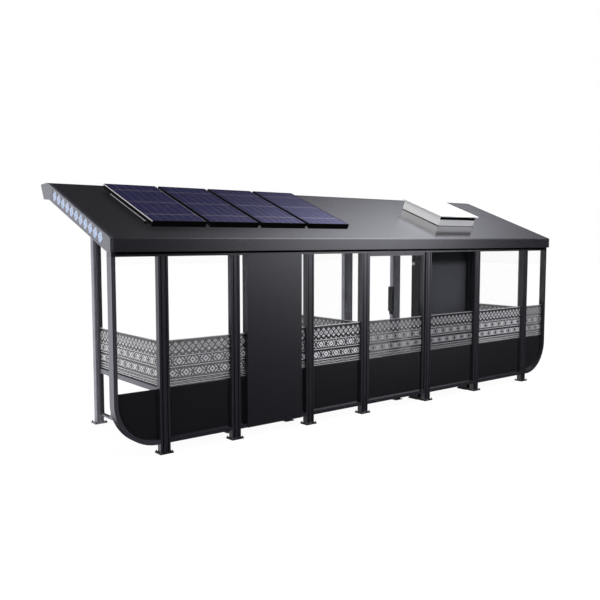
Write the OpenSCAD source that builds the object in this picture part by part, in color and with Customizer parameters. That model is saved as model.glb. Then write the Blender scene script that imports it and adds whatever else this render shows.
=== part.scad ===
// Enclosed bus shelter with two rooms. A single-pitch roof stands on a front row of seven posts and a
// back row of five. The front is closed by a long hoop frame with round lower corners, solid infill
// panels and glass. Three cross walls join it to the back row, which is left open as entrances.
// X runs along the shelter, +Y goes to the open high side, +Z is up. The origin is on the ground at
// the middle of the shelter's box. Lengths are in millimetres.

/* [Plan] */
// Length of the roof over its two verges
roof_len = 8450; // [8440:10:8800]
// Depth of the roof from eave fascia to back nose
roof_depth = 2100; // [2080:10:2300]
// Front bays from left to right, between post centres
bay_1 = 1000; // [900:5:1100]
// Second front bay, behind the information panel
bay_2 = 1205; // [1150:5:1300]
// Third front bay, up to the middle cross wall
bay_3 = 1020; // [900:5:1100]
// Fourth front bay, with its own window frame
bay_4 = 1360; // [1300:5:1400]
// Fifth front bay, in front of the display board
bay_5 = 1205; // [1150:5:1300]
// Sixth front bay, up to the right cross wall
bay_6 = 1340; // [1300:5:1400]

/* [Posts] */
// Width of a front post
post_w = 130; // [120:1:150]
// Depth of every post
post_d = 82; // [76:1:90]
// Width of the two end posts of the open back
back_end_w = 105; // [96:1:130]
// Width of the three posts between the back entrances
back_mid_w = 190; // [130:1:196]
// Width of the grooves down a post's broad faces
groove_w = 14; // [8:1:18]
// Depth of those grooves
groove_d = 12; // [6:1:20]
// Base plate of a front or end post, along the shelter
plate_w = 180; // [176:1:220]
// Base plate size across the shelter
plate_d = 150; // [140:1:150]
// Base plate thickness
plate_t = 12; // [8:1:20]
// Radius of an anchor bolt hole
anchor_r = 7; // [5:0.5:8]

/* [Front] */
// Underside of the front eave
eave_z = 2372; // [2300:1:2450]
// How far the hoop frame runs out past the end posts' centres
hoop_out = 638; // [620:1:640]
// Outer radius of the hoop's lower corners
hoop_r = 540; // [480:5:560]
// Thickness of the hoop frame in its own plane
hoop_t = 50; // [40:1:60]
// Depth of the hoop frame from front to back
hoop_d = 118; // [110:1:125]
// Underside of the hoop's bottom rail
rail_z = 121; // [100:1:160]
// Top edge of the solid infill panels
infill_top = 768; // [700:1:900]
// Setback of the infill panels behind the posts' faces
infill_back = 45; // [30:1:50]
// Width of the information panel in the second bay
info_w = 880; // [600:10:960]

/* [Cross walls] */
// Thickness of a cross wall's frame
wall_t = 50; // [40:2:80]
// Underside of its middle rail
mid_rail_z = 706; // [650:1:850]
// Height of the middle rail
mid_rail_h = 62; // [40:1:80]
// Width of its stiles
stile_w = 50; // [40:5:90]
// Width of the mullion between its two lower openings
mullion_w = 90; // [60:5:160]
// Radius of the lower openings' corners beside the mullion
mullion_r = 80; // [40:5:100]

/* [Perches] */
// Top of the leaning perches
perch_z = 740; // [650:5:780]
// Depth of a perch from front to back
perch_d = 150; // [120:5:200]

/* [Roof] */
// Pitch of the roof in degrees
pitch = 20.8; // [18:0.1:22]
// Height of the front fascia
fascia_h = 160; // [140:1:200]
// Vertical depth of the verge
verge_h = 194; // [180:1:220]
// Radius of the bend at the ridge
ridge_r = 240; // [100:10:300]
// Thickness of the verge plates
verge_t = 40; // [20:1:60]
// Thickness of the roof's sheet
skin_t = 14; // [8:1:25]

/* [Roof equipment] */
// Width of a solar panel
solar_w = 735; // [700:5:740]
// Length of a solar panel up the slope
solar_l = 1430; // [1400:10:1550]
// Distance from one solar panel to the next
solar_pitch = 786; // [770:1:800]
// Height of a solar panel's face over the roof
solar_lift = 112; // [90:1:130]
// Distance from one tooth of a panel rail to the next
tooth_pitch = 50; // [30:1:80]
// Width of the roof vent
vent_w = 905; // [600:1:1000]
// Length of the roof vent up the slope
vent_l = 860; // [600:10:900]

/* [Hidden] */
$fn = 96;

// Where the posts stand
bays = [bay_1, bay_2, bay_3, bay_4, bay_5, bay_6];
function run(n) = n == 0 ? 0 : bays[n - 1] + run(n - 1);
half_run = run(6) / 2;
front_x = [for (i = [0:6]) run(i) - half_run];
back_end_x = half_run + (post_w - back_end_w) / 2;
back_x = [-back_end_x, front_x[3], front_x[4], front_x[5], back_end_x];
back_w = [back_end_w, back_mid_w, back_mid_w, back_mid_w, back_end_w];
hoop_half = half_run + hoop_out;
hoop_web = 14;

// Planes across the shelter
edge_y = -roof_depth / 2;
face_y = edge_y + 35;
post_back_y = face_y + post_d;
eave_in_y = face_y + hoop_d;
infill_t = 16;
infill_y = face_y + infill_back;
glass_t = 10;
glass_y = infill_y + (infill_t - glass_t) / 2;
back_face_y = face_y + 1835;

// Roof levels, all on the line of the roof's top face
rise = tan(pitch);
function top_z(y) = eave_z + fascia_h + rise * (y - edge_y);
function under_z(y) = top_z(y) - verge_h;
ridge_y = edge_y + 1860;
nose_z = top_z(ridge_y) - 13;
nose_low_y = -edge_y - 96;
nose_low_z = top_z(ridge_y) - 208;
header_z = nose_low_z - 6;
header_h = 110;
eave_back_y = edge_y + (verge_h - fascia_h) / rise;
fold_t = 25;
skin_drop = skin_t / cos(pitch);
soffit_t = 10;
hoop_top = eave_z - 54;
rail_lip = 25;

// Channel for the lights in the left verge
light_start = 165;
light_l = 1620;
light_mid = 90;
light_h = 140;
light_d = 2;

// Rafters under the soffit
rafter_w = 60;
rafter_h = 70;
function rafter_low(y) = under_z(y) - soffit_t - rafter_h;

// Front bays: from post to post, and the stretches that infill and glass close
info_x = (front_x[1] + front_x[2]) / 2;
info_front = 15;
info_back_y = face_y + 92;
frame_w = 45;
frame_d = 60;
function bay_left(i) = front_x[i] + post_w / 2;
function bay_right(i) = front_x[i + 1] - post_w / 2;
function clear(i) =
    i == 1 ? [[bay_left(1), info_x - info_w / 2], [info_x + info_w / 2, bay_right(1)]] :
    i == 3 ? [[bay_left(3) + frame_w, bay_right(3) - frame_w]] :
    [[bay_left(i), bay_right(i)]];

// Cross walls: glass above the middle rail, two openings under it
wall_run = back_face_y - post_back_y;
mid_top = mid_rail_z + mid_rail_h;
low_rail = 26;
mullion_y = back_face_y - 410;
stile_r = 20;

// Display board and its columns
column_w = 135;
column_d = 170;
column_y = face_y + 130;
board_t = 110;

// Leaning perches, from end to end, and their legs
perch_y = face_y + 270;
perch_x = [[-2530, -380], [380, 940]];
arm_x = -412;
leg_x = [[-2440, -1478], [700]];
tube = 40;

// Roof equipment
solar_x0 = -3605;
solar_y0 = edge_y + 243;
solar_t = 56;
laminate_t = 8;
rim_w = 12;
sink = 3;
return_w = 48;
return_t = 3;
rail_w = 30;
rail_h = solar_lift - solar_t;
rail_inset = 205;
slot_h = 14;
vent_x = 1815;
vent_y = edge_y + 550;
vent_h = 170;
vent_wall = 20;
lid_over = 38;
lid_t = 16;

module rounded(w, d, r) {
    square([w - 2 * r, d], center = true);
    square([w, d - 2 * r], center = true);
    for (sx = [-1, 1], sy = [-1, 1])
        translate([sx * (w / 2 - r), sy * (d / 2 - r)]) circle(r);
}

// Stands an outline drawn in X and Z upright, from y to y + depth
module upright(y, depth) {
    translate([0, y + depth, 0]) rotate([90, 0, 0]) linear_extrude(depth) children();
}

// Turns an outline drawn in Y and Z into a wall of thickness t centred on x
module across(x, t) {
    translate([x - t / 2, 0, 0]) rotate([90, 0, 90]) linear_extrude(t) children();
}

// Puts its children on the roof's face at x, y with Z square to the slope
module on_roof(x, y) {
    translate([x, y, top_z(y)]) rotate([pitch, 0, 0]) children();
}

module base_plate(x, y, w) {
    translate([x, y, 0]) difference() {
        linear_extrude(plate_t) rounded(w, plate_d, 8);
        for (sx = [-1, 1], sy = [-1, 1])
            translate([sx * (w / 2 - 16), sy * (plate_d / 2 - 15), -1])
                cylinder(r = anchor_r, h = plate_t + 2);
    }
}

// Posts
module post(x, y, w, plate, top, grooves) {
    base_plate(x, y, plate);
    translate([x, y, plate_t]) linear_extrude(top - plate_t) difference() {
        rounded(w, post_d, 5);
        for (sx = grooves, sy = [-1, 1])
            translate([sx * w, sy * post_d / 2])
                square([groove_w, 2 * groove_d], center = true);
    }
}

module front_post(i) {
    color("#2b2b30") post(front_x[i], face_y + post_d / 2, post_w, plate_w, hoop_top, [-0.24, 0.24]);
}

module back_post(i) {
    w = back_w[i];
    plate = max(plate_w, w + 50);
    grooves = w > post_w ? [-0.38, 0.38] : [-0.24, 0.24];
    color("#2b2b30") post(back_x[i], back_face_y + post_d / 2, w, plate, header_z - header_h, grooves);
}

// Hoop frame. The top rail has a shadow gap under the eave, closed at its two ends
module hoop_top_rail() {
    gap_half = hoop_half - hoop_t;
    color("#2b2b30") difference() {
        translate([-hoop_half, face_y, hoop_top]) cube([2 * hoop_half, hoop_d, eave_z - hoop_top]);
        translate([-gap_half, face_y - 1, hoop_top + rail_lip])
            cube([2 * gap_half, infill_back + 1, eave_z - hoop_top]);
    }
}

module hoop_bottom_rail() {
    color("#2b2b30") for (i = [0:5])
        translate([bay_left(i), face_y, rail_z])
            cube([bays[i] - post_w, hoop_d, hoop_t]);
}

// The hoop's outline beyond the last post, grown inwards by inset and cut off at height top
module hoop_end_outline(inset, top) {
    r = hoop_r - inset;
    start_x = half_run + post_w / 2;
    mid_x = hoop_half - hoop_r;
    mid_z = rail_z + hoop_r;
    translate([start_x, mid_z]) square([hoop_half - inset - start_x, top - mid_z]);
    intersection() {
        translate([mid_x, mid_z]) circle(r);
        translate([start_x, rail_z]) square([2 * hoop_r, hoop_r + 1]);
    }
}

// An angle bent to the hoop's curve: a broad flange in front, which holds the infill and the glass, and
// a thin web behind it
module hoop_end() {
    color("#2b2b30") {
        hoop_band(hoop_t, infill_back + infill_t);
        hoop_band(hoop_web, hoop_d);
    }
}

module hoop_band(t, depth) {
    upright(face_y, depth) difference() {
        hoop_end_outline(0, hoop_top);
        hoop_end_outline(t, hoop_top + 1);
    }
}

// Solid infill under the glass
module infill_end() {
    color("#202023") upright(infill_y, infill_t) hoop_end_outline(hoop_t, infill_top);
}

module infill_panels() {
    low = rail_z + hoop_t;
    color("#202023") for (i = [0:5], span = clear(i))
        translate([span[0], infill_y, low])
            cube([span[1] - span[0], infill_t, infill_top - low]);
}

// Front glass
module front_glass(first, last) {
    color("lightgrey", 0.35) for (i = [first:last], span = clear(i)) {
        head = i == 3 ? frame_w : 0;
        translate([span[0], glass_y, infill_top])
            cube([span[1] - span[0], glass_t, hoop_top - head - infill_top]);
    }
}

module front_glass_end() {
    color("lightgrey", 0.35) translate([half_run + post_w / 2, glass_y, infill_top])
        cube([hoop_out - post_w / 2 - hoop_t, glass_t, hoop_top - infill_top]);
}

module centre_window_frame() {
    low = rail_z + hoop_t;
    wide = bay_4 - post_w;
    color("#2b2b30") translate([bay_left(3), 0, 0]) upright(face_y + 20, frame_d)
        difference() {
            translate([0, low]) square([wide, hoop_top - low]);
            translate([frame_w, low - 1]) square([wide - 2 * frame_w, hoop_top - low - frame_w + 1]);
        }
}

// Information panel that closes most of the second bay, with a face that laps over the bottom rail
module information_panel() {
    rail_top = rail_z + hoop_t;
    color("#38383d") across(info_x, info_w) polygon([
        [face_y - info_front, rail_z],
        [face_y, rail_z],
        [face_y, rail_top],
        [info_back_y, rail_top],
        [info_back_y, hoop_top],
        [face_y - info_front, hoop_top]
    ]);
}

// Display board behind the fifth bay, on columns of its own
module display_columns() {
    color("#2b2b30") for (i = [4, 5]) translate([front_x[i], column_y, 0]) {
        translate([-column_w / 2, 0, plate_t])
            cube([column_w, column_d, rafter_low(column_y) - plate_t]);
        translate([0, column_d / 2 + 3, 0]) linear_extrude(plate_t) rounded(plate_w + 20, column_d + 22, 8);
    }
}

module display_board() {
    color("#2a2a2e") translate([front_x[4] + column_w / 2, column_y + 20, rail_z])
        cube([bay_5 - column_w, board_t, hoop_top - rail_z]);
}

// Cross walls between the two rows of posts, up to the rafters
module wall_outline() {
    polygon([
        [post_back_y, rail_z],
        [back_face_y, rail_z],
        [back_face_y, rafter_low(back_face_y)],
        [eave_in_y, rafter_low(eave_in_y)],
        [eave_in_y, hoop_top],
        [post_back_y, hoop_top]
    ]);
}

module above_mid_rail() {
    translate([post_back_y + stile_w, mid_top]) square([wall_run - 2 * stile_w, 3 * mid_top]);
}

// One lower opening from a stile to the mullion, with wide corners beside the mullion
module low_opening(stile_y, end_y) {
    wide = abs(end_y - stile_y);
    low = rail_z + low_rail;
    high = mid_rail_z - low;
    translate([(stile_y + end_y) / 2, low + high / 2]) rounded(wide, high, mullion_r);
    translate([(3 * stile_y + end_y) / 4, low + high / 2]) rounded(wide / 2, high, stile_r);
}

module cross_wall(x) {
    color("#55555b") across(x, wall_t) difference() {
        wall_outline();
        above_mid_rail();
        low_opening(post_back_y + stile_w, mullion_y - mullion_w / 2);
        low_opening(back_face_y - stile_w, mullion_y + mullion_w / 2);
    }
}

module cross_glass(x) {
    color("lightgrey", 0.35) across(x, glass_t) intersection() {
        wall_outline();
        above_mid_rail();
    }
}

// Roof structure
module rafters() {
    color("#2b2b30") for (x = front_x) across(x, rafter_w) polygon([
        [eave_in_y, rafter_low(eave_in_y)],
        [back_face_y, rafter_low(back_face_y)],
        [back_face_y, header_z],
        [eave_in_y, under_z(eave_in_y) - soffit_t]
    ]);
}

module back_header() {
    color("#2b2b30") translate([-half_run - post_w / 2, back_face_y, header_z - header_h])
        cube([2 * half_run + post_w, post_d, header_h]);
}

module soffit() {
    color("#3a3a40") across(0, roof_len - 2 * verge_t) polygon([
        [eave_in_y, under_z(eave_in_y)],
        [eave_in_y, under_z(eave_in_y) - soffit_t],
        [back_face_y, header_z],
        [back_face_y, header_z + soffit_t]
    ]);
}

// Folded front fascia: an upright face and a flange over the hoop's top rail
module eave_fascia() {
    color("#33333a") across(0, roof_len - 2 * verge_t) polygon([
        [edge_y, eave_z],
        [eave_in_y, eave_z],
        [eave_in_y, eave_z + fold_t],
        [edge_y + fold_t, eave_z + fold_t],
        [edge_y + fold_t, top_z(edge_y + fold_t) - skin_drop],
        [edge_y, top_z(edge_y) - skin_drop]
    ]);
}

// The whole roof's end profile, with the ridge bent to a radius and a back nose that slopes in
module roof_profile() {
    bend = pitch + 3.1;
    reach = ridge_r * tan(bend / 2);
    centre_y = ridge_y - reach * cos(pitch) + ridge_r * sin(pitch);
    centre_z = top_z(ridge_y - reach * cos(pitch)) - ridge_r * cos(pitch);
    arc = [for (k = [0:8]) pitch - bend * k / 8];
    polygon(concat(
        [[edge_y, eave_z], [edge_y, top_z(edge_y)]],
        [for (a = arc) [centre_y - ridge_r * sin(a), centre_z + ridge_r * cos(a)]],
        [[-edge_y, nose_z], [nose_low_y, nose_low_z], [ridge_y - 31, header_z]],
        [[eave_back_y, eave_z]]
    ));
}

module verge(x) {
    color("#8b8b92") across(x, verge_t) roof_profile();
}

// The left verge has a shallow channel for its row of lights
module verge_left() {
    color("#8b8b92") difference() {
        verge((verge_t - roof_len) / 2);
        on_roof(-roof_len / 2, edge_y)
            translate([-1, light_start, -light_mid - light_h / 2]) cube([light_d + 1, light_l, light_h]);
    }
}

// The sheet over slope, ridge and nose, with a return along the header's top
module roof_skin() {
    color("#47474d") across(0, roof_len - 2 * verge_t) {
        difference() {
            roof_profile();
            translate([0, -skin_drop]) intersection() {
                roof_profile();
                translate([edge_y, 0]) square([roof_depth - 20, 2 * nose_z]);
            }
            translate([edge_y - 1, 0]) square([roof_depth / 2, top_z(edge_y) - skin_drop]);
        }
        polygon([
            [back_face_y, header_z],
            [nose_low_y, nose_low_z],
            [nose_low_y, nose_low_z + skin_t],
            [back_face_y, header_z + skin_t]
        ]);
    }
}

// Solar panels on slotted rails, which stop short of the panels' ends
module solar_rails() {
    length = solar_l - 2 * rail_inset;
    slots = floor(length / tooth_pitch) - 1;
    color("silver") for (i = [0:3], side = [0.04, 0.96])
        on_roof(solar_x0 + i * solar_pitch + side * solar_w, solar_y0 + rail_inset * cos(pitch))
            across(0, rail_w) difference() {
                square([length, rail_h]);
                for (k = [1:slots])
                    translate([k * tooth_pitch, rail_h - slot_h - return_t])
                        square([tooth_pitch / 2, slot_h]);
            }
}

// A block of that thickness inside a panel's outline, with its underside at height z over the roof
module panel_inside(inset, z, t) {
    translate([inset, inset, z]) cube([solar_w - 2 * inset, solar_l - 2 * inset, t]);
}

// A deep frame round a thin laminate, with a return along its lower edge that rests on the rails
module solar_panel(i) {
    color("#30305a") on_roof(solar_x0 + i * solar_pitch, solar_y0) difference() {
        panel_inside(0, rail_h, solar_t);
        panel_inside(rim_w, solar_lift - sink, sink + 1);
        panel_inside(rim_w, rail_h + return_t, solar_t - return_t - laminate_t - sink);
        panel_inside(return_w, rail_h - 1, return_t + 2);
    }
}

// Roof vent: a curb square to the slope under a thin flat lid
module vent_curb() {
    color("white") on_roof(vent_x, vent_y) difference() {
        cube([vent_w, vent_l, vent_h]);
        translate([vent_wall, vent_wall, -1])
            cube([vent_w - 2 * vent_wall, vent_l - 2 * vent_wall, vent_h + 2]);
    }
}

module vent_lid() {
    color("white") on_roof(vent_x - lid_over, vent_y) translate([0, -lid_over, vent_h])
        cube([vent_w + 2 * lid_over, vent_l + 2 * lid_over, lid_t]);
}

// Leaning perches behind the infill: a tube on legs carries two boards. The left one is also held by
// an arm from the post at its end
module perch_frames() {
    low = perch_z - 30 - tube;
    mid = perch_y + perch_d / 2;
    color("#202023") {
        for (n = [0, 1]) {
            translate([perch_x[n][0] + 20, mid - tube / 2, low])
                cube([perch_x[n][1] - perch_x[n][0] - 40, tube, tube]);
            for (x = leg_x[n]) {
                translate([x - tube / 2, mid - tube / 2, 8]) cube([tube, tube, low - 8]);
                translate([x, mid, 0]) linear_extrude(8) rounded(150, 100, 6);
            }
        }
        translate([arm_x, post_back_y, low])
            cube([tube, mid + tube / 2 - post_back_y, tube]);
    }
}

module perch_boards() {
    board = (perch_d - 10) / 2;
    color("#a8703f") for (x = perch_x, k = [0, 1])
        translate([x[0], perch_y + k * (board + 10), perch_z - 30]) cube([x[1] - x[0], board, 30]);
}

// Terminal on the left face of the fourth back post
module post_terminal() {
    color("#2b2b30") translate([back_x[3] - back_mid_w / 2 - 45, back_face_y - 30, 1200]) {
        cube([45, 110, 450]);
        translate([0, 30, -60]) cube([45, 50, 60]);
    }
}

// Small white sensor dome on the left display column
module sensor_dome() {
    color("white") translate([front_x[4] - column_w / 2, column_y + column_d - 40, 2140])
        rotate([0, -90, 0]) {
            cylinder(r = 26, h = 12);
            translate([0, 0, 12]) intersection() {
                sphere(r = 22);
                translate([0, 0, 25]) cube(50, center = true);
            }
        }
}

for (i = [0:6])
    front_post(i);
for (i = [0:4])
    back_post(i);
hoop_top_rail();
hoop_bottom_rail();
mirror([1, 0, 0]) hoop_end();  // hoop_end_left
hoop_end();  // hoop_end_right
mirror([1, 0, 0]) infill_end();  // infill_end_left
infill_panels();
infill_end();  // infill_end_right
front_glass(0, 2);  // front_glass_left
union() {  // front_glass_right
    front_glass(3, 5);
    front_glass_end();
}
centre_window_frame();
information_panel();
display_board();
display_columns();
cross_wall(front_x[0]);  // cross_wall_left
cross_wall(front_x[3]);  // cross_wall_middle
cross_wall(front_x[6]);  // cross_wall_right
cross_glass(front_x[0]);  // cross_glass_left
cross_glass(front_x[3]);  // cross_glass_middle
cross_glass(front_x[6]);  // cross_glass_right
rafters();
back_header();
soffit();
eave_fascia();
verge_left();
verge((roof_len - verge_t) / 2);  // verge_right
roof_skin();
solar_rails();
for (i = [0:3])
    solar_panel(i);
vent_curb();
vent_lid();
perch_frames();
perch_boards();
post_terminal();
sensor_dome();
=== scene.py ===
"""Finishes and small detail of the bus shelter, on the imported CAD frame.

Lengths are in metres. +X runs along the shelter, +Y points to its open side and +Z is up.
"""
import math

import bmesh
import bpy
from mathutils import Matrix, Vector


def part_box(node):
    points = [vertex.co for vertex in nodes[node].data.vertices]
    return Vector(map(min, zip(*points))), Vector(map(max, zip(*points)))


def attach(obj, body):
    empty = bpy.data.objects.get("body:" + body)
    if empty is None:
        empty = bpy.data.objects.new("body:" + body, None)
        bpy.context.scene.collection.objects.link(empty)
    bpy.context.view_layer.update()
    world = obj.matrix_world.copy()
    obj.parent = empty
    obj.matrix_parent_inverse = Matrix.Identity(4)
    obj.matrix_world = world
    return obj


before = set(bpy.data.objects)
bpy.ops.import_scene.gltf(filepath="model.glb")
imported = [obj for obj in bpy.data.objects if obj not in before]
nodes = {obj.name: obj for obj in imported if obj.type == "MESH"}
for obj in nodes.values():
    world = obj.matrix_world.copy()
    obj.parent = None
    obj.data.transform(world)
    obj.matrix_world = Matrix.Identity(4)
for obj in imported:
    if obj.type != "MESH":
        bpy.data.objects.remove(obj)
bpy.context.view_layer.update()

MM = 0.001
PITCH = math.radians(20.8)

FRONT_POSTS = [f"front_post_{i}" for i in range(1, 8)]
BACK_POSTS = [f"back_post_{i}" for i in range(1, 6)]
WALLS = ("left", "middle", "right")


# Colours and materials


def linear(level):
    """A display level from 0 to 255 as linear light."""
    c = level / 255
    return c / 12.92 if c <= 0.04045 else ((c + 0.055) / 1.055) ** 2.4


def colour(red, green, blue):
    return linear(red), linear(green), linear(blue), 1.0


def scaled(rgba, factor):
    return tuple(min(1.0, c * factor) for c in rgba[:3]) + (1.0,)


class Finish:
    """A node material that is built up from its Principled shader."""

    def __init__(self, name, **inputs):
        self.material = bpy.data.materials.new(name)
        self.material.use_nodes = True
        self.tree = self.material.node_tree
        self.shader = self.tree.nodes["Principled BSDF"]
        for key, value in inputs.items():
            self.shader.inputs[key.replace("_", " ")].default_value = value

    def add(self, kind, settings=None, **inputs):
        """A node of that kind. An input is a value or a socket to link, by name or as i and its number."""
        node = self.tree.nodes.new("ShaderNode" + kind)
        for key, value in (settings or {}).items():
            setattr(node, key, value)
        for key, value in inputs.items():
            by_number = key[0] == "i" and key[1:].isdigit()
            self.feed(node.inputs[int(key[1:]) if by_number else key], value)
        return node

    def feed(self, socket, value):
        if isinstance(value, bpy.types.NodeSocket):
            self.tree.links.new(value, socket)
        else:
            socket.default_value = value

    def place(self, stretch=(1, 1, 1)):
        """Object coordinates in metres, stretched along each axis."""
        coordinates = self.add("TexCoord").outputs["Object"]
        return self.add("Mapping", Vector=coordinates, Scale=stretch).outputs[0]

    def noise(self, scale, detail=3.0, stretch=(1, 1, 1)):
        node = self.add("TexNoise", Vector=self.place(stretch), Scale=scale, Detail=detail)
        return node.outputs["Fac"]

    def math(self, operation, first, second=0.0, third=0.0):
        return self.add("Math", {"operation": operation}, i0=first, i1=second, i2=third).outputs[0]

    def spread(self, value, start, end, low=0.0, high=1.0):
        """Maps value from the range start to end onto the range low to high, and no further."""
        node = self.add("MapRange", Value=value)
        for key, bound in (("From Min", start), ("From Max", end), ("To Min", low), ("To Max", high)):
            node.inputs[key].default_value = bound
        return node.outputs[0]

    def between(self, share, low=0.0, high=1.0):
        """Spreads share, a noise around 0.5, over the range from low to high."""
        return self.spread(share, 0.3, 0.7, low, high)

    def blend(self, share, first, second):
        node = self.add("Mix", {"data_type": "RGBA"}, i0=share, i6=first, i7=second)
        return node.outputs[2]

    def paint(self, value):
        self.feed(self.shader.inputs["Base Color"], value)

    def dull(self, value):
        self.feed(self.shader.inputs["Roughness"], value)

    def bump(self, height, depth):
        self.feed(self.shader.inputs["Normal"], self.add("Bump", Height=height, Distance=depth).outputs[0])


def mottled(base, spread):
    """The darker and the lighter colour of a finish that varies by spread."""
    return scaled(base, 1 - spread), scaled(base, 1 + spread)


ROUGHNESS_SPREAD = 0.008


def powder_coat(name, base, roughness, gloss, mottle=0.12, grain=90, depth=0.2 * MM, lacquer=0.0):
    """Powder coat: soft patches in its colour, worn gloss and a fine orange-peel grain."""
    f = Finish(name, Specular_IOR_Level=gloss, Coat_Weight=lacquer, Coat_Roughness=0.12)
    patches = f.between(f.noise(5, 4))
    speckle = f.between(f.noise(grain, 2))
    share = f.math("MULTIPLY_ADD", speckle, 0.6, f.math("MULTIPLY", patches, 0.4))
    f.paint(f.blend(share, *mottled(base, mottle)))
    f.dull(f.between(f.noise(12, 4), roughness - ROUGHNESS_SPREAD, roughness + ROUGHNESS_SPREAD))
    f.bump(f.noise(420, 2), depth)
    return f.material


def sheet_glass(name):
    """Clear toughened glass with a trace of tint and gloss."""
    return Finish(name, Base_Color=colour(70, 84, 80), Roughness=0.02, Alpha=0.015,
                  Specular_IOR_Level=0.5).material


def printed(name, base, spread, opacity=1.0):
    """Ceramic print on glass, fused in fine dots."""
    f = Finish(name, Roughness=0.35, Specular_IOR_Level=0.25, Alpha=opacity)
    f.paint(f.blend(f.between(f.noise(260, 2)), *mottled(base, spread)))
    return f.material


CELL_COLUMNS, CELL_ROWS, BUSBARS = 6.0, 3.0, 3.0  # busbars in each column
COLUMN_GAP, BUSBAR_W = 0.02, 0.03
ROW_GAP_AT, ROW_GAP_W = 0.02, 0.007


def solar_cells(name):
    """Blue crystalline cells behind glass: six columns, three double row gaps and thin busbars."""
    f = Finish(name, Metallic=0.85, Roughness=0.1, Specular_IOR_Level=0.3,
               Specular_Tint=(0.95, 0.95, 1.0, 1.0))
    across, along, _ = f.add("SeparateXYZ", Vector=f.add("UVMap").outputs[0]).outputs
    columns = f.math("MULTIPLY", across, CELL_COLUMNS)
    column_gap = f.math("LESS_THAN", f.math("PINGPONG", columns, 0.5), COLUMN_GAP)
    rows = f.math("PINGPONG", f.math("MULTIPLY_ADD", along, CELL_ROWS, 0.5), 0.5)
    row_gap = f.math("COMPARE", rows, ROW_GAP_AT, ROW_GAP_W)
    busbar = f.math("LESS_THAN", f.math("PINGPONG", f.math("MULTIPLY", columns, BUSBARS), 0.5), BUSBAR_W)
    flecks = f.between(f.add("TexVoronoi", Vector=f.place(), Scale=70).outputs["Color"])
    cell = f.blend(flecks, colour(72, 72, 126), colour(86, 86, 142))
    wired = f.blend(f.math("MULTIPLY", busbar, 0.18), cell, colour(200, 202, 225))
    gaps = f.math("MULTIPLY", f.math("MAXIMUM", column_gap, row_gap), 0.8)
    f.paint(f.blend(gaps, wired, colour(226, 214, 226)))
    return f.material


def painted_shadow_face(name, base, top, right):
    """Satin sheet with a painted shadow: black that fades in along its top, for the eave's shadow, and along
    its right side, for the shadow of the post beside it.
    """
    f = Finish(name, Roughness=0.5, Specular_IOR_Level=0.04)
    x, _, z = f.add("SeparateXYZ", Vector=f.add("NewGeometry").outputs["Position"]).outputs
    # Painted shadow: black fading in under the top edge and along the right side
    painted_shadow = f.math("MAXIMUM", f.spread(z, top - 240 * MM, top - 130 * MM),
                    f.spread(x, right - 80 * MM, right - 40 * MM))
    face = f.blend(f.between(f.noise(120, 2)), *mottled(base, 0.08))
    f.paint(f.blend(painted_shadow, face, colour(9, 9, 9)))
    return f.material


def over_slope(f, source):
    """The part of a vector of the surface that is square to the roof's slope, and the part along X."""
    x, y, z = f.add("SeparateXYZ", Vector=f.add("NewGeometry").outputs[source]).outputs
    return f.math("MULTIPLY_ADD", y, -math.sin(PITCH), f.math("MULTIPLY", z, math.cos(PITCH))), x


# Streaked pale colours for the painted highlights on the panel frame and on the rails
def streaked_highlight(f, scale, dark, light):
    return f.blend(f.between(f.noise(scale, 3, (1, 12, 1))), dark, light)


def solar_frame(name, top, highlighted):
    """Frame with a pale sheet behind the cells. Its near-black is partly painted shade for the dark space
    under the panels. A highlighted one has a painted highlight strip along the top of its long sides.
    """
    f = Finish(name, Specular_IOR_Level=0.05, Roughness=0.6)
    height, _ = over_slope(f, "Position")
    facing, side = over_slope(f, "True Normal")
    sheet = f.math("MULTIPLY", f.math("LESS_THAN", facing, -0.5),
                   f.math("GREATER_THAN", height, top - 14 * MM))
    # The body's near-black is partly painted shade, for the dark space beneath the panel
    framed = f.blend(sheet, colour(4, 4, 5), colour(225, 225, 226))
    if highlighted:
        # Painted highlight: a bright strip along the top of the long sides, where the light falls on them
        highlight_strip = f.math("MULTIPLY", f.math("GREATER_THAN", f.math("ABSOLUTE", side), 0.5),
                       f.math("GREATER_THAN", height, top - 12 * MM))
        framed = f.blend(highlight_strip, framed, streaked_highlight(f, 60, colour(205, 203, 208), colour(235, 233, 238)))
        f.dull(f.math("MULTIPLY_ADD", highlight_strip, -0.25, 0.6))
    f.paint(framed)
    return f.material


def rail_metal(name, top):
    """Rail in two tones by height: near-black below as painted shade under the panels, and a painted
    highlight on the slotted strip along its upper edge.
    """
    f = Finish(name, Specular_IOR_Level=0.2)
    height, _ = over_slope(f, "Position")
    # Painted highlight on the top strip, painted shade below it
    highlight_strip = f.math("GREATER_THAN", height, top - 22 * MM)
    highlight = streaked_highlight(f, 90, colour(190, 188, 194), colour(232, 230, 235))
    f.paint(f.blend(highlight_strip, colour(12, 12, 13), highlight))
    f.dull(f.math("MULTIPLY_ADD", highlight_strip, -0.3, 0.6))
    return f.material


def oiled_wood(name):
    """Hardwood boards with grain along X."""
    f = Finish(name, Specular_IOR_Level=0.3)
    rings = f.between(f.noise(9, 6, (0.12, 1, 1)))
    fibre = f.between(f.noise(160, 4, (0.04, 1, 1)))
    share = f.math("MULTIPLY_ADD", fibre, 0.45, f.math("MULTIPLY", rings, 0.55))
    f.paint(f.blend(share, colour(122, 78, 44), colour(196, 142, 94)))
    f.dull(f.between(fibre, 0.4, 0.6))
    f.bump(fibre, 0.6 * MM)
    return f.material


def backlit(name):
    """Pale blue light behind a cut sheet, uneven along its run."""
    f = Finish(name, Base_Color=colour(120, 130, 150), Roughness=0.5, Emission_Strength=0.85)
    glow = f.blend(f.between(f.noise(30, 2)), colour(165, 186, 218), colour(190, 208, 236))
    f.feed(f.shader.inputs["Emission Color"], glow)
    return f.material


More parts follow.
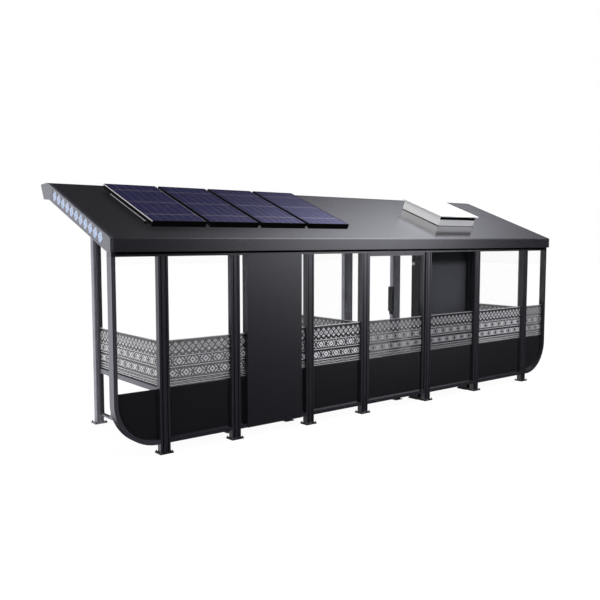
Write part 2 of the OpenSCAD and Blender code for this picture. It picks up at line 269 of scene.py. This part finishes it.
# Each coat's colour, roughness, gloss and further settings
POWDER_COATS = {
    "post_coat": (colour(31, 31, 36), 0.2, 0.45, {"mottle": 0.05}),
    "roof_coat": (colour(30, 30, 33), 0.16, 0.8,
                  {"mottle": 0.2, "grain": 70, "depth": 0.4 * MM, "lacquer": 0.8}),
    "fascia_coat": (colour(28, 28, 32), 0.16, 0.42, {"mottle": 0.04}),
    "verge_coat": (colour(46, 46, 52), 0.2, 0.6, {"mottle": 0.05}),
    # The back posts' coat: they share the dark coat of the front posts, and this one is painted light grey
    # as painted light
    "grained_coat_painted_light": (colour(152, 152, 161), 0.32, 0.15, {"mottle": 0.35, "grain": 75, "depth": 1.2 * MM}),
    "wall_coat": (colour(68, 68, 74), 0.25, 0.6, {"mottle": 0.05}),
    "inner_coat": (colour(24, 24, 26), 0.5, 0.3, {}),
    "infill_coat": (colour(20, 20, 23), 0.2, 0.35, {"mottle": 0.03}),
    "panel_face": (colour(23, 23, 27), 0.23, 0.45, {"mottle": 0.02}),
    "soffit_coat": (colour(40, 40, 44), 0.5, 0.3, {}),
    "white_coat": (colour(240, 240, 241), 0.35, 0.5, {"mottle": 0.01}),
    "white_plastic": (colour(232, 232, 234), 0.3, 0.5, {"mottle": 0.01}),
    "rubber": (colour(7, 7, 8), 0.8, 0.05, {}),
    "bolt_steel": (colour(44, 44, 47), 0.35, 0.6, {}),
}
MATERIALS = {name: powder_coat(name, *values, **more) for name, (*values, more) in POWDER_COATS.items()}
MATERIALS.update({
    "glass": sheet_glass("glass"),
    "print_ground": printed("print_ground", colour(38, 41, 39), 0.1, opacity=0.72),
    "front_print": printed("front_print", colour(166, 163, 168), 0.08),
    # A paler copy of the front print, painted light for the panes where the glass catches the bright field
    "print_painted_light": printed("print_painted_light", colour(206, 203, 208), 0.08),
    # The same print as on the front, painted paler as painted light for the light from the left on the cross
    # walls
    "wall_print": printed("wall_print", colour(228, 225, 228), 0.05),
    "solar_cells": solar_cells("solar_cells"),
    "wood": oiled_wood("wood"),
    "backlit": backlit("backlit"),
})

# The nodes in each finish. The display board, the solar panels and their rails get their own
NODE_FINISHES = {
    "post_coat": FRONT_POSTS + ["hoop_bottom_rail", "hoop_end_right", "centre_window_frame"],
    "grained_coat_painted_light": BACK_POSTS,
    "wall_coat": [f"cross_wall_{side}" for side in WALLS],
    "fascia_coat": ["eave_fascia", "hoop_top_rail"],
    "verge_coat": ["verge_left", "verge_right", "hoop_end_left"],
    "roof_coat": ["roof_skin"],
    "infill_coat": ["infill_end_left", "infill_panels", "infill_end_right"],
    "panel_face": ["information_panel"],
    "inner_coat": ["display_columns", "back_header", "perch_frames", "post_terminal"],
    "soffit_coat": ["rafters", "soffit"],
    "white_coat": ["vent_curb", "vent_lid"],
    "white_plastic": ["sensor_dome"],
    "wood": ["perch_boards"],
    "glass": ["front_glass_left", "front_glass_right"] + [f"cross_glass_{side}" for side in WALLS],
}


def dress(node, material):
    data = nodes[node].data
    data.materials.clear()
    data.materials.append(material)


for finish, names in NODE_FINISHES.items():
    for name in names:
        dress(name, MATERIALS[finish])
board_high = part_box("display_board")[1]
# The board's face, with its painted shadow along the top and the right side
dress("display_board", painted_shadow_face("board_face", colour(61, 61, 67), board_high.z, board_high.x))


# Pieces that scene.py adds


def rectangle(u_low, u_high, v_low, v_high):
    return [(u_low, v_low), (u_high, v_low), (u_high, v_high), (u_low, v_high)]


def ring(radius, sides):
    steps = [2 * math.pi * k / sides for k in range(sides)]
    return [(radius * math.cos(a), radius * math.sin(a)) for a in steps]


class Solids:
    """Collects closed solids that become one piece."""

    def __init__(self):
        self.points = []
        self.faces = []

    def prism(self, outline, place, near, far):
        """A plate with that outline in (u, v). place(u, v, depth) puts a point in the frame."""
        start, n = len(self.points), len(outline)
        for depth in (near, far):
            self.points += [place(u, v, depth) for u, v in outline]
        self.faces.append([start + k for k in range(n)])
        self.faces.append([start + n + k for k in reversed(range(n))])
        for k in range(n):
            nxt = (k + 1) % n
            self.faces.append([start + nxt, start + k, start + n + k, start + n + nxt])

    def box(self, low, high):
        outline = rectangle(low[0], high[0], low[1], high[1])
        self.prism(outline, lambda u, v, depth: (u, v, depth), low[2], high[2])

    def piece(self, name, material, slot, smooth=False):
        mesh = bpy.data.meshes.new(name)
        mesh.from_pydata(self.points, [], self.faces)
        work = bmesh.new()
        work.from_mesh(mesh)
        bmesh.ops.recalc_face_normals(work, faces=work.faces)
        work.to_mesh(mesh)
        work.free()
        mesh.materials.append(material)
        obj = bpy.data.objects.new(name, mesh)
        bpy.context.scene.collection.objects.link(obj)
        if smooth:
            mesh.shade_smooth()
        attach(obj, "root")
        return obj


# Printed band on the glass: a woven diamond pattern. Widths are in metres, and heights and rows are shares
# of the band's height, counted from its top

PERIOD = 184 * MM
SMALL_ROW, LATTICE_ROW, SOLID_ROW = 0.105, 0.182, 0.257
BAND_A, BAND_B, HATCH = 0.465, 0.713, 0.908
STRIPES = ((0.0, 0.014), (0.956, 0.966), (0.349, 0.361), (0.572, 0.584), (0.837, 0.849))
# Corners from a diamond's middle: a bar along its side, the point between two diamonds, the last row's arrow
BAR = ((27 * MM, 0.073), (48 * MM, 0.073), (79 * MM, 0.013), (60 * MM, 0.013))
POINT = ((-16 * MM, 0.077), (16 * MM, 0.077), (0.0, 0.046))
ARROW = ((-17 * MM, 0.334), (0.0, 0.302), (17 * MM, 0.334))


def diamond(u, v, half_u, half_v):
    return [(u - half_u, v), (u, v - half_v), (u + half_u, v), (u, v + half_v)]


def diamond_ring(u, v, half_u, half_v, inner):
    """Four bars round a diamond hole. inner is the hole's share of the size."""
    outer, hole = diamond(u, v, half_u, half_v), diamond(u, v, half_u * inner, half_v * inner)
    return [[outer[k], outer[(k + 1) % 4], hole[(k + 1) % 4], hole[k]] for k in range(4)]


def lens(u, v, length, thick, drop, steps=5):
    """A long stroke that thins to both ends and drops along its length."""
    upper, lower = [], []
    for k in range(steps + 1):
        t = k / steps
        mid = v + drop * (t - 0.5)
        bulge = thick / 2 * math.sin(math.pi * t) ** 0.6 if 0 < t < 1 else 0.0
        upper.append((u + length * (t - 0.5), mid + bulge))
        lower.append((u + length * (t - 0.5), mid - bulge))
    return upper + lower[-2:0:-1]


def diamond_band(centre, row):
    """One period of a broad band: a ringed diamond, bars along its sides and points between."""
    shapes = diamond_ring(centre, row, 42 * MM, 0.077, 0.4)
    for side_u in (-1, 1):
        for side_v in (-1, 1):
            shapes.append([(centre + side_u * u, row + side_v * v) for u, v in BAR])
    for side_v in (-1, 1):
        shapes.append([(centre + PERIOD / 2 + u, row + side_v * v) for u, v in POINT])
    return shapes


def lattice(centre):
    """One small period of the lattice: small, ringed and solid diamonds in three rows."""
    between = centre + PERIOD / 4
    shapes = diamond_ring(centre, SMALL_ROW, 27 * MM, 0.041, 0.5)
    shapes += diamond_ring(between, LATTICE_ROW, 36 * MM, 0.057, 0.66)
    shapes.append(diamond(between, LATTICE_ROW, 10 * MM, 0.016))
    shapes += diamond_ring(centre, SOLID_ROW, 25 * MM, 0.038, 0.3)
    shapes.append([(between + u, v) for u, v in ARROW])
    return shapes


def band_shapes(length):
    """Every printed shape on a band of that length, in (u, share of the height from the top)."""
    shapes = [rectangle(0, length, a, b) for a, b in STRIPES]
    for k in range(-1, int(length / PERIOD) + 2):
        u = k * PERIOD
        shapes += diamond_band(u, BAND_A)
        shapes += diamond_band(u + PERIOD / 2, BAND_B)
        for half in (0, PERIOD / 2):
            shapes += lattice(u + half + PERIOD / 4)
            shapes.append(lens(u + half, HATCH, 190 * MM, 0.012, 0.07))
    return shapes


def clip(outline, low, high):
    """The part of a convex outline between low and high along u."""
    for limit, keep in ((low, 1), (high, -1)):
        result = []
        for k, (u, v) in enumerate(outline):
            pu, pv = outline[k - 1]
            if (u - limit) * keep >= 0:
                if (pu - limit) * keep < 0:
                    result.append((limit, pv + (v - pv) * (limit - pu) / (u - pu)))
                result.append((u, v))
            elif (pu - limit) * keep >= 0 and u != pu:
                result.append((limit, pv + (v - pv) * (limit - pu) / (u - pu)))
        outline = result
        if len(outline) < 3:
            return []
    return outline


# How far the ground and the strokes lie in front of the glass: near and far face
GROUND_DEPTHS = (0.9 * MM, 1.3 * MM)
STROKE_DEPTHS = (0.4 * MM, 1.8 * MM)
PHASE = 0.53  # of a period, from the middle of a pane to the pattern's start


def print_band(strokes, ground, u_low, u_high, z_low, z_high, place, middle=None):
    """Adds the printed band between u_low and u_high, with its pattern centred on middle or between them."""
    middle = (u_low + u_high) / 2 if middle is None else middle
    origin = middle - PERIOD * (PHASE + math.ceil((middle - u_low) / PERIOD))
    ground.prism(rectangle(u_low, u_high, z_low, z_high), place, *GROUND_DEPTHS)
    for shape in band_shapes(u_high - origin):
        kept = clip([(origin + u, share) for u, share in shape], u_low, u_high)
        if kept:
            height = z_high - z_low
            kept = [(u, z_high - min(max(share, 0.0), 1.0) * height) for u, share in kept]
            strokes.prism(kept, place, *STROKE_DEPTHS)


FRONT_PRINT_TOP = 1.333
WALL_PRINT_TOP = 1.325
POST_HALF = 65 * MM
FRAME_W = 45 * MM
post_x = [(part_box(post)[0].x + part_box(post)[1].x) / 2 for post in FRONT_POSTS]
infill_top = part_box("infill_panels")[1].z
glass_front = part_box("front_glass_left")[0].y
panel_low, panel_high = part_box("information_panel")
window_low, window_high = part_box("centre_window_frame")
hoop_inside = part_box("front_glass_right")[1].x


def on_front(u, v, depth):
    return (u, glass_front - depth, v)


def front_panes():
    """Each stretch of front glass: its two ends along X, and the middle that its pattern is centred on."""
    panes = []
    for left, right in zip(post_x, post_x[1:]):
        panes.append((left + POST_HALF, right - POST_HALF, (left + right) / 2))
    panes[3] = (window_low.x + FRAME_W, window_high.x - FRAME_W, panes[3][2])
    low, high, middle = panes[1]
    panes[1:2] = [(low, panel_low.x, middle), (panel_high.x, high, middle)]
    low, high = post_x[-1] + POST_HALF, hoop_inside
    return panes + [(low, high, (low + high) / 2)]


# Panes whose print is painted paler, as painted light from the bright field mirrored in the glass there: the
# third and sixth bays, and the one right of the information panel
PAINTED_LIGHT_PANES = (2, 3, 6)
strokes, painted_light_strokes, ground = Solids(), Solids(), Solids()
for k, (low, high, middle) in enumerate(front_panes()):
    print_band(painted_light_strokes if k in PAINTED_LIGHT_PANES else strokes, ground, low, high,
               infill_top, FRONT_PRINT_TOP, on_front, middle)
strokes.piece("front_print", MATERIALS["front_print"], "glass")
painted_light_strokes.piece("print_painted_light", MATERIALS["print_painted_light"], "glass")
ground.piece("front_print_ground", MATERIALS["print_ground"], "glass")

for side in WALLS:
    strokes, ground = Solids(), Solids()
    low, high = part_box(f"cross_glass_{side}")
    print_band(strokes, ground, low.y, high.y, low.z, WALL_PRINT_TOP,
               lambda u, v, depth: (low.x - depth, u, v))
    strokes.piece(f"wall_print_{side}", MATERIALS["wall_print"], "glass")
    ground.piece(f"wall_print_ground_{side}", MATERIALS["print_ground"], "glass")


# Anchor bolts with cap nuts on every base plate

PLATE_T = 12 * MM
PERCH_PLATE_T = 8 * MM
PERCH_LEG_X = (-2.440, -1.478, 0.700)  # as in the CAD source
# A washer, a hexagon nut and a domed cap: radius, sides, and top over the plate
CAP_NUT = ((13 * MM, 16, 2.5 * MM), (11 * MM, 6, 12 * MM), (8.5 * MM, 12, 16 * MM),
           (6 * MM, 12, 20 * MM), (3 * MM, 12, 22 * MM))


def cap_nut(solids, x, y, z):
    near = 0.0
    for radius, sides, far in CAP_NUT:
        solids.prism(ring(radius, sides), lambda u, v, depth: (x + u, y + v, z + depth), near, far)
        near = far


bolts = Solids()
for post in FRONT_POSTS + BACK_POSTS:
    low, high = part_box(post)
    for x in (low.x + 16 * MM, high.x - 16 * MM):
        for y in (low.y + 15 * MM, high.y - 15 * MM):
            cap_nut(bolts, x, y, PLATE_T)
bolts.piece("anchor_bolts", MATERIALS["bolt_steel"], "anthracite_coat")

columns_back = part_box("display_columns")[1].y
perch_low, perch_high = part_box("perch_boards")
small_bolts = Solids()
for x in (post_x[4], post_x[5]):
    for dx in (-82 * MM, 82 * MM):
        cap_nut(small_bolts, x + dx, columns_back - 16 * MM, PLATE_T)
for x in PERCH_LEG_X:
    for dx in (-58 * MM, 58 * MM):
        cap_nut(small_bolts, x + dx, (perch_low.y + perch_high.y) / 2, PERCH_PLATE_T)
small_bolts.piece("floor_bolts", MATERIALS["bolt_steel"], "anthracite_coat")


# Black strips on the floor of the grooves down the front posts, painted shade in the grooves

GROOVE_D, GROOVE_W = 12 * MM, 14 * MM
GROOVE_AT = 31.2 * MM  # from the post's middle
POST_HALF_D = 41 * MM
groove_shade = Solids()
for x, post in zip(post_x, FRONT_POSTS):
    low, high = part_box(post)
    floor_y = (low.y + high.y) / 2 - POST_HALF_D + GROOVE_D
    half = GROOVE_W / 2 - 0.5 * MM
    for side in (-1, 1):
        middle = x + side * GROOVE_AT
        # Painted shade: a black strip on each groove's floor
        groove_shade.box((middle - half, floor_y - 4 * MM, PLATE_T + 2 * MM),
                    (middle + half, floor_y - 0.2 * MM, high.z - 3 * MM))
groove_shade.piece("post_groove_shade", MATERIALS["rubber"], "anthracite_coat")


# Solar cells in their rims, and a black skirt along the panels' front edge, painted shade in the gap under
# them

up_slope = Vector((0, math.cos(PITCH), math.sin(PITCH)))
out = Vector((0, -math.sin(PITCH), math.cos(PITCH)))
SOLAR_RIM = 12 * MM
PANEL_T = 56 * MM
CELL_DEPTHS = (-2.8 * MM, -1 * MM)
SHADE_SKIRT_V = (4 * MM, 9 * MM)
SHADE_SKIRT_DEPTHS = (-PANEL_T - 17 * MM, -PANEL_T + 1 * MM)


def over_roof(origin):
    """Places (u, v, depth) as along X, up the slope and square out of it, from that corner."""
    return lambda u, v, depth: tuple(origin + Vector((u, 0, 0)) + up_slope * v + out * depth)


# The panels, rails and skirts are hidden from mirror rays, so the roof shows the bright field unbroken
shade_skirts = Solids()
for i in range(1, 5):
    low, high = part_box(f"solar_panel_{i}")
    width = high.x - low.x
    length = (high.y - low.y - PANEL_T * math.sin(PITCH)) / math.cos(PITCH)
    foot = Vector((low.x, low.y, high.z - length * math.sin(PITCH)))
    # Painted shade: a black skirt in the gap under the panel's front edge
    shade_skirts.prism(rectangle(0, width, *SHADE_SKIRT_V), over_roof(foot), *SHADE_SKIRT_DEPTHS)
    cells = Solids()
    a, b, c = SOLAR_RIM, width - SOLAR_RIM, length - SOLAR_RIM
    cells.prism(rectangle(a, b, a, c), over_roof(foot), *CELL_DEPTHS)
    obj = cells.piece(f"solar_cells_{i}", MATERIALS["solar_cells"], "solar_cells")
    uv = obj.data.uv_layers.new(name="cells")
    for loop in obj.data.loops:
        p = Vector(obj.data.vertices[loop.vertex_index].co) - foot
        uv.data[loop.index].uv = ((p.x - a) / (b - a), (p.dot(up_slope) - a) / (c - a))
    # Only the first panel gets the painted highlight strip
    dress(f"solar_panel_{i}", solar_frame(f"solar_frame_{i}", foot.dot(out), i == 1))
    obj.visible_glossy = nodes[f"solar_panel_{i}"].visible_glossy = False
dress("solar_rails", rail_metal("rail_metal", foot.dot(out) - PANEL_T))
nodes["solar_rails"].visible_glossy = False
shade_skirts.piece("solar_shade_skirts", MATERIALS["rubber"], "anthracite_coat").visible_glossy = False


# Black strips as painted shade: behind the shadow gap over the hoop's top rail, and round the roof vent

SHADOW_GAP = 29 * MM
STRIP_INSET = 51 * MM
STRIP_T = 2 * MM
BAND_H = 60 * MM
rail_low, rail_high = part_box("hoop_top_rail")
painted_shade_strips = Solids()
# Painted shade: a black strip on the back wall of the shadow gap
painted_shade_strips.box((rail_low.x + STRIP_INSET, rail_low.y + 43 * MM, rail_high.z - SHADOW_GAP + 1 * MM),
          (rail_high.x - STRIP_INSET, rail_low.y + 44.5 * MM, rail_high.z - 1 * MM))

curb_low, curb_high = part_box("vent_curb")
curb_w, curb_run, curb_rise = curb_high - curb_low
curb_h = (curb_rise * math.cos(PITCH) - curb_run * math.sin(PITCH)) / math.cos(2 * PITCH)
curb_l = (curb_run * math.cos(PITCH) - curb_rise * math.sin(PITCH)) / math.cos(2 * PITCH)
on_curb = over_roof(Vector((curb_low.x, curb_low.y + curb_h * math.sin(PITCH), curb_low.z)))

# The dark band under the lid as its painted shadow, then thin black strips along the left and front feet as
# painted shade where the curb meets the roof
painted_shade_strips.prism(rectangle(0, curb_w, -STRIP_T, 0), on_curb, curb_h - BAND_H, curb_h - 0.5 * MM)
painted_shade_strips.prism(rectangle(-STRIP_T, 0, -STRIP_T, curb_l), on_curb, 0.5 * MM, 9 * MM)
painted_shade_strips.prism(rectangle(0, curb_w, -STRIP_T, 0), on_curb, 0.5 * MM, 5 * MM)
painted_shade_strips.piece("painted_shade_strips", MATERIALS["rubber"], "anthracite_coat")
corners = Solids()
for u in (0, curb_w):
    corners.prism([(u + a, b) for a, b in ring(7 * MM, 12)], on_curb, 11 * MM, curb_h - BAND_H - 1 * MM)
corners.piece("vent_corners", MATERIALS["white_coat"], "white_coat", smooth=True)


# Lit marks on the left verge: stepped diamonds in seven slats, drawn down the slope

MARKS, MARK_PITCH, FIRST_MARK = 11, 145 * MM, 250 * MM
MARK_W, MARK_H = 120 * MM, 126 * MM
SLAT_H = MARK_H / 7
CHANNEL = 2 * MM
FASCIA_H = 160 * MM
MARKS_DROP = 90 * MM
verge_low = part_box("verge_left")[0]
marks_origin = Vector((verge_low.x + CHANNEL, verge_low.y, verge_low.z + FASCIA_H)) - out * MARKS_DROP


def on_verge(u, v, depth):
    return tuple(marks_origin + up_slope * u + out * v - Vector((depth, 0, 0)))


marks = Solids()
for k in range(MARKS):
    middle = FIRST_MARK + k * MARK_PITCH
    for row in range(-3, 4):
        half = MARK_W / 2 * (1 - abs(row) / 4.5)
        hole = half * 0.18 if row % 2 else 0.0
        v, h = row * SLAT_H, SLAT_H * 0.36
        for side in (-1, 1):
            a, b = sorted((side * hole, side * half))
            marks.prism(rectangle(middle + a, middle + b, v - h, v + h), on_verge, 0.0, 0.6 * MM)
marks.piece("verge_lights", MATERIALS["backlit"], "white_plastic")


# Camera, lamps, backdrop and floor

EYE = Vector((-7.602, -8.561, 2.5))
HEADING = math.radians(38.765)
TILT = math.radians(4.67)

camera = bpy.data.objects.new("camera", bpy.data.cameras.new("camera"))
camera.data.lens = 43.74
camera.data.sensor_width = 36
camera.location = EYE
camera.rotation_euler = (math.pi / 2 - TILT, 0, -HEADING)
bpy.context.scene.collection.objects.link(camera)
bpy.context.scene.camera = camera


def soft_sun(name, source, strength, spread):
    """A distant soft lamp that shines from the direction of source. strength is its E / pi."""
    data = bpy.data.lights.new(name, "SUN")
    data.energy = strength * math.pi
    data.angle = math.radians(spread)
    obj = bpy.data.objects.new(name, data)
    obj.rotation_euler = Vector(source).to_track_quat("Z", "Y").to_euler()
    obj.visible_camera = False
    bpy.context.scene.collection.objects.link(obj)


soft_sun("top_lamp", (0.0, -0.1, 1.0), 0.95, 84)
soft_sun("left_lamp", (-1.0, 0.1, 0.32), 0.7, 100)
soft_sun("front_lamp", (-0.35, -1.0, 0.25), 0.08, 60)
soft_sun("right_lamp", (0.6, -0.12, 0.8), 0.3, 40)


def shader_node(tree, kind, settings=None, inputs=()):
    node = tree.nodes.new("ShaderNode" + kind)
    for key, value in (settings or {}).items():
        setattr(node, key, value)
    for index, value in inputs:
        if isinstance(value, bpy.types.NodeSocket):
            tree.links.new(value, node.inputs[index])
        else:
            node.inputs[index].default_value = value
    return node


world = bpy.data.worlds.new("studio")
bpy.context.scene.world = world
world.use_nodes = True
sky = world.node_tree
sky.nodes.clear()


def sky_math(operation, *values):
    return shader_node(sky, "Math", {"operation": operation}, list(enumerate(values))).outputs[0]


def profile(angle, stops):
    """A curve over an angle in radians, through stops of (degrees, level up to 1)."""
    low, high = stops[0][0], stops[-1][0]
    share = shader_node(sky, "MapRange", None, (
        (0, angle), (1, math.radians(low)), (2, math.radians(high)), (3, 0.0), (4, 1.0))).outputs[0]
    ramp = shader_node(sky, "ValToRGB", None, ((0, share),))
    ramp.color_ramp.interpolation = "LINEAR"
    elements = ramp.color_ramp.elements
    while len(elements) > 1:
        elements.remove(elements[-1])
    for k, (degrees, level) in enumerate(stops):
        place = (degrees - low) / (high - low)
        element = elements[0] if k == 0 else elements.new(place)
        element.position = place
        element.color = (level, level, level, 1.0)
    return ramp.outputs[0]


# Bright fields of the studio, as (strength, slant, stops round the compass, stops over the horizon), in
# degrees. The compass starts at +Y and turns to +X. Slant lifts the climb by that much for each degree of
# compass before it meets the stops over the horizon
FIELDS = (
    (1.3, 0.47,
     ((30, 0), (37, 0.05), (42, 0.18), (47, 0.46), (52, 0.78), (56, 1), (60, 0.6), (64, 0.22), (75, 0.08),
      (95, 0)),
     ((45, 0), (49, 0.12), (51, 0.62), (53.5, 1), (75, 1), (95, 0))),
    (2.3, 0.0,
     ((-46, 0), (-33, 0.32), (-28.6, 0.45), (-24, 1), (-16, 0.9), (-8, 0)),
     ((-40, 0), (-18, 0.8), (-10, 1), (1, 1), (4, 0.75), (15, 0.6), (35, 0))),
    (9.0, 0.0,
     ((127.5, 0), (130, 0.4), (132.5, 0.9), (135, 1), (140, 0.65), (147, 0.15), (151, 0)),
     ((-9, 0), (-3, 0.2), (1, 0.75), (4, 1), (44, 1), (52, 0))),
)
FIELD_COLOUR = (0.9, 0.905, 1.0, 1.0)
SKY_BASE = 0.02



def seen_rays(tree):
    """1 for rays from the camera and rays that have come through glass."""
    path = shader_node(tree, "LightPath").outputs
    return shader_node(tree, "Math", {"operation": "MAXIMUM"},
                       ((0, path["Is Camera Ray"]), (1, path["Is Transmission Ray"]))).outputs[0]


# White for what is seen straight or through glass, and the fields for light and mirror rays
direction = shader_node(sky, "TexCoord").outputs["Generated"]
east, north, up = shader_node(sky, "SeparateXYZ", None, ((0, direction),)).outputs
compass = sky_math("ARCTAN2", east, north)
climb = sky_math("ARCSINE", up)
total = SKY_BASE
for strength, slant, around, above in FIELDS:
    raised = sky_math("MULTIPLY_ADD", compass, slant, climb)
    field = sky_math("MULTIPLY", profile(compass, around), profile(raised, above))
    total = sky_math("MULTIPLY_ADD", field, strength, total)
fields = shader_node(sky, "Background", None, ((0, FIELD_COLOUR), (1, total))).outputs[0]
white = shader_node(sky, "Background", None, ((0, (1, 1, 1, 1)), (1, 1.0))).outputs[0]
mixed = shader_node(sky, "MixShader", None, ((0, seen_rays(sky)), (1, fields), (2, white)))
shader_node(sky, "OutputWorld", None, ((0, mixed.outputs[0]),))

# A matt floor that keeps a little of the shadow, and looks white to the same rays
REACH = 60
FLOOR_DROP = 0.5 * MM
WHITE_SHARE = 0.9
floor_mesh = bpy.data.meshes.new("floor")
floor_mesh.from_pydata([(-REACH, -REACH, 0), (REACH, -REACH, 0), (REACH, REACH, 0), (-REACH, REACH, 0)],
                       [], [(0, 1, 2, 3)])
paper = bpy.data.materials.new("paper")
paper.use_nodes = True
tree = paper.node_tree
tree.nodes.clear()
share = shader_node(tree, "Math", {"operation": "MULTIPLY"},
                    ((0, seen_rays(tree)), (1, WHITE_SHARE))).outputs[0]
matt = shader_node(tree, "BsdfDiffuse", None, ((0, (0.5, 0.5, 0.5, 1)),)).outputs[0]
glow = shader_node(tree, "Emission", None, ((0, (1, 1, 1, 1)), (1, 1.06))).outputs[0]
mixed = shader_node(tree, "MixShader", None, ((0, share), (1, matt), (2, glow)))
shader_node(tree, "OutputMaterial", None, ((0, mixed.outputs[0]),))
floor_mesh.materials.append(paper)
floor = bpy.data.objects.new("floor", floor_mesh)
floor.location.z = -FLOOR_DROP
floor.visible_glossy = False
bpy.context.scene.collection.objects.link(floor)

bpy.context.scene.view_settings.view_transform = "Standard"

bpy.context.view_layer.update()
